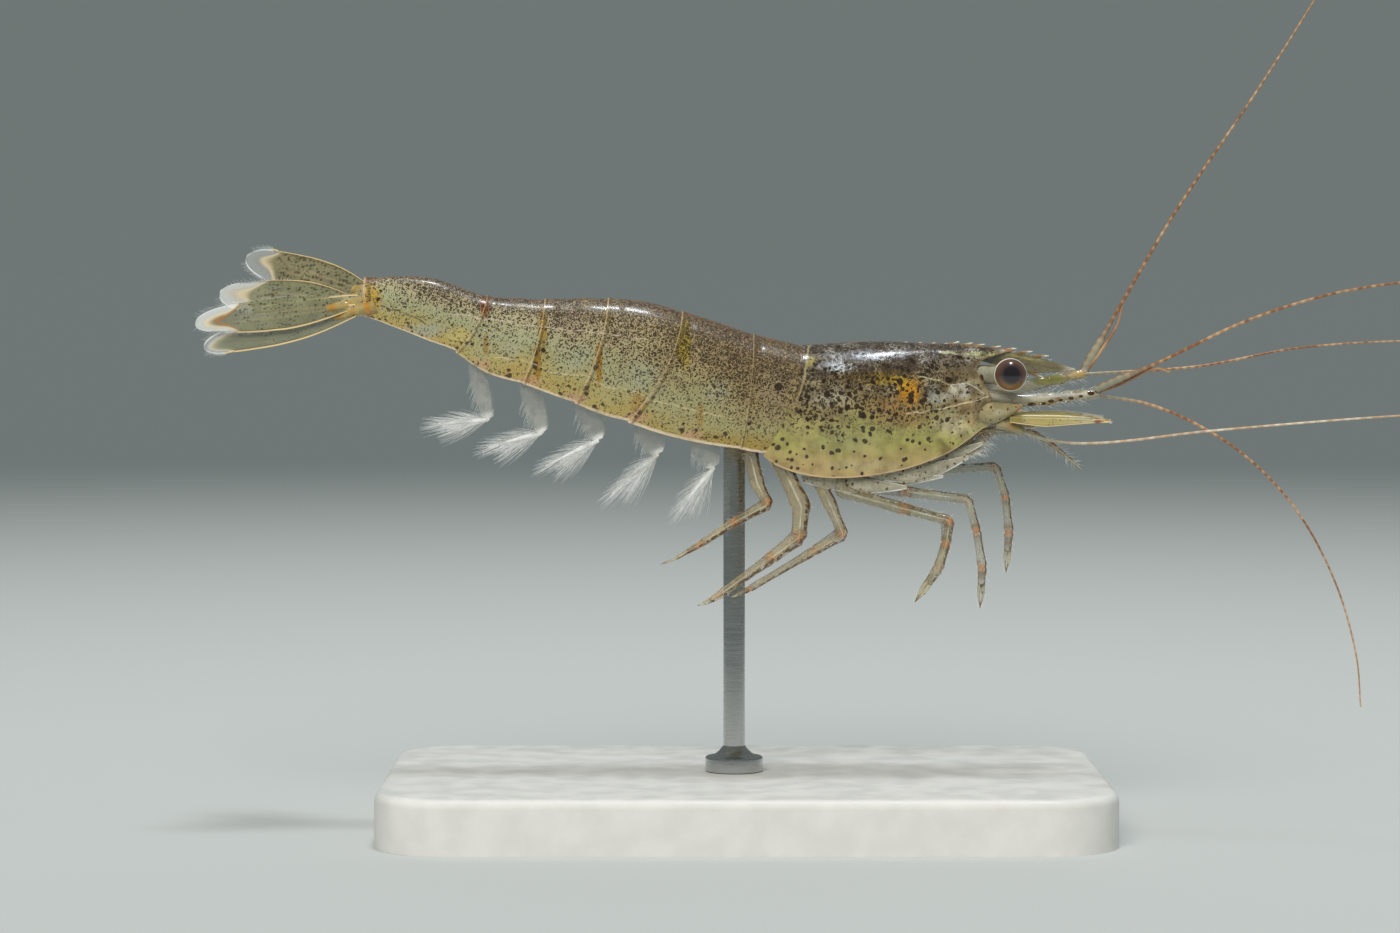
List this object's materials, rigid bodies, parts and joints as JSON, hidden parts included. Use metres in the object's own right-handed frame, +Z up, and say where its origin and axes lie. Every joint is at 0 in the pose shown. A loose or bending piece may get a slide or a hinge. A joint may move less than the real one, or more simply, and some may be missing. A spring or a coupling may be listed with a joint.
{
  "type": "shrimp",
  "caption": "Swimming shrimp with a toothed rostrum, stalked eyes, long feelers, walking legs, beating swimmerets and a spread tail fan, on a flat base with a rod.",
  "frame": {"origin": "centre of the underside of the stand's base", "axes": "+X towards the shrimp's head, +Y towards its left side, +Z up"},
  "size_m": [0.0801, 0.0254, 0.0497],
  "materials": {
    "translucent_shell": "glossy, slightly translucent shell with fine dark speckle",
    "clear_blade": "glossy, clear blade with a pale margin",
    "rostrum_horn": "glossy horn",
    "eye_cornea": "wet, polished",
    "limb_shell": "glossy, half-clear shell",
    "pleopod_shell": "soft white, half-clear",
    "feeler_shell": "fine bands of red-brown and cream",
    "stand_resin": "satin",
    "stand_steel": "brushed"
  },
  "bodies": {
    "root": {"antenna_base_left": "limb_shell", "antenna_base_right": "limb_shell", "antenna_flagellum_left": "feeler_shell", "antenna_flagellum_right": "feeler_shell", "antenna_scale_left": "clear_blade", "antenna_scale_right": "clear_blade", "antennule_inner_left": "feeler_shell", "antennule_inner_right": "feeler_shell", "antennule_left": "limb_shell", "antennule_outer_left": "feeler_shell", "antennule_outer_right": "feeler_shell", "antennule_right": "limb_shell", "carapace": "translucent_shell", "eye_left": "eye_cornea", "eye_right": "eye_cornea", "eyestalk_left": "translucent_shell", "eyestalk_right": "translucent_shell", "leg_1_left": "limb_shell", "leg_1_right": "limb_shell", "leg_2_left": "limb_shell", "leg_2_right": "limb_shell", "leg_3_left": "limb_shell", "leg_3_right": "limb_shell", "leg_4_left": "limb_shell", "leg_4_right": "limb_shell", "leg_5_left": "limb_shell", "leg_5_right": "limb_shell", "maxilliped_left": "limb_shell", "maxilliped_right": "limb_shell", "mouthparts": "limb_shell", "pleopod_1_left": "pleopod_shell", "pleopod_1_right": "pleopod_shell", "pleopod_2_left": "pleopod_shell", "pleopod_2_right": "pleopod_shell", "pleopod_3_left": "pleopod_shell", "pleopod_3_right": "pleopod_shell", "pleopod_4_left": "pleopod_shell", "pleopod_4_right": "pleopod_shell", "pleopod_5_left": "pleopod_shell", "pleopod_5_right": "pleopod_shell", "rostrum": "rostrum_horn", "somite_1": "translucent_shell", "somite_2": "translucent_shell", "somite_3": "translucent_shell", "somite_4": "translucent_shell", "somite_5": "translucent_shell", "somite_6": "translucent_shell", "stand_base": "stand_resin", "stand_rod": "stand_steel", "telson": "clear_blade", "uropod_endopod_left": "clear_blade", "uropod_endopod_right": "clear_blade", "uropod_exopod_left": "clear_blade", "uropod_exopod_right": "clear_blade"}
  },
  "joints": []
}
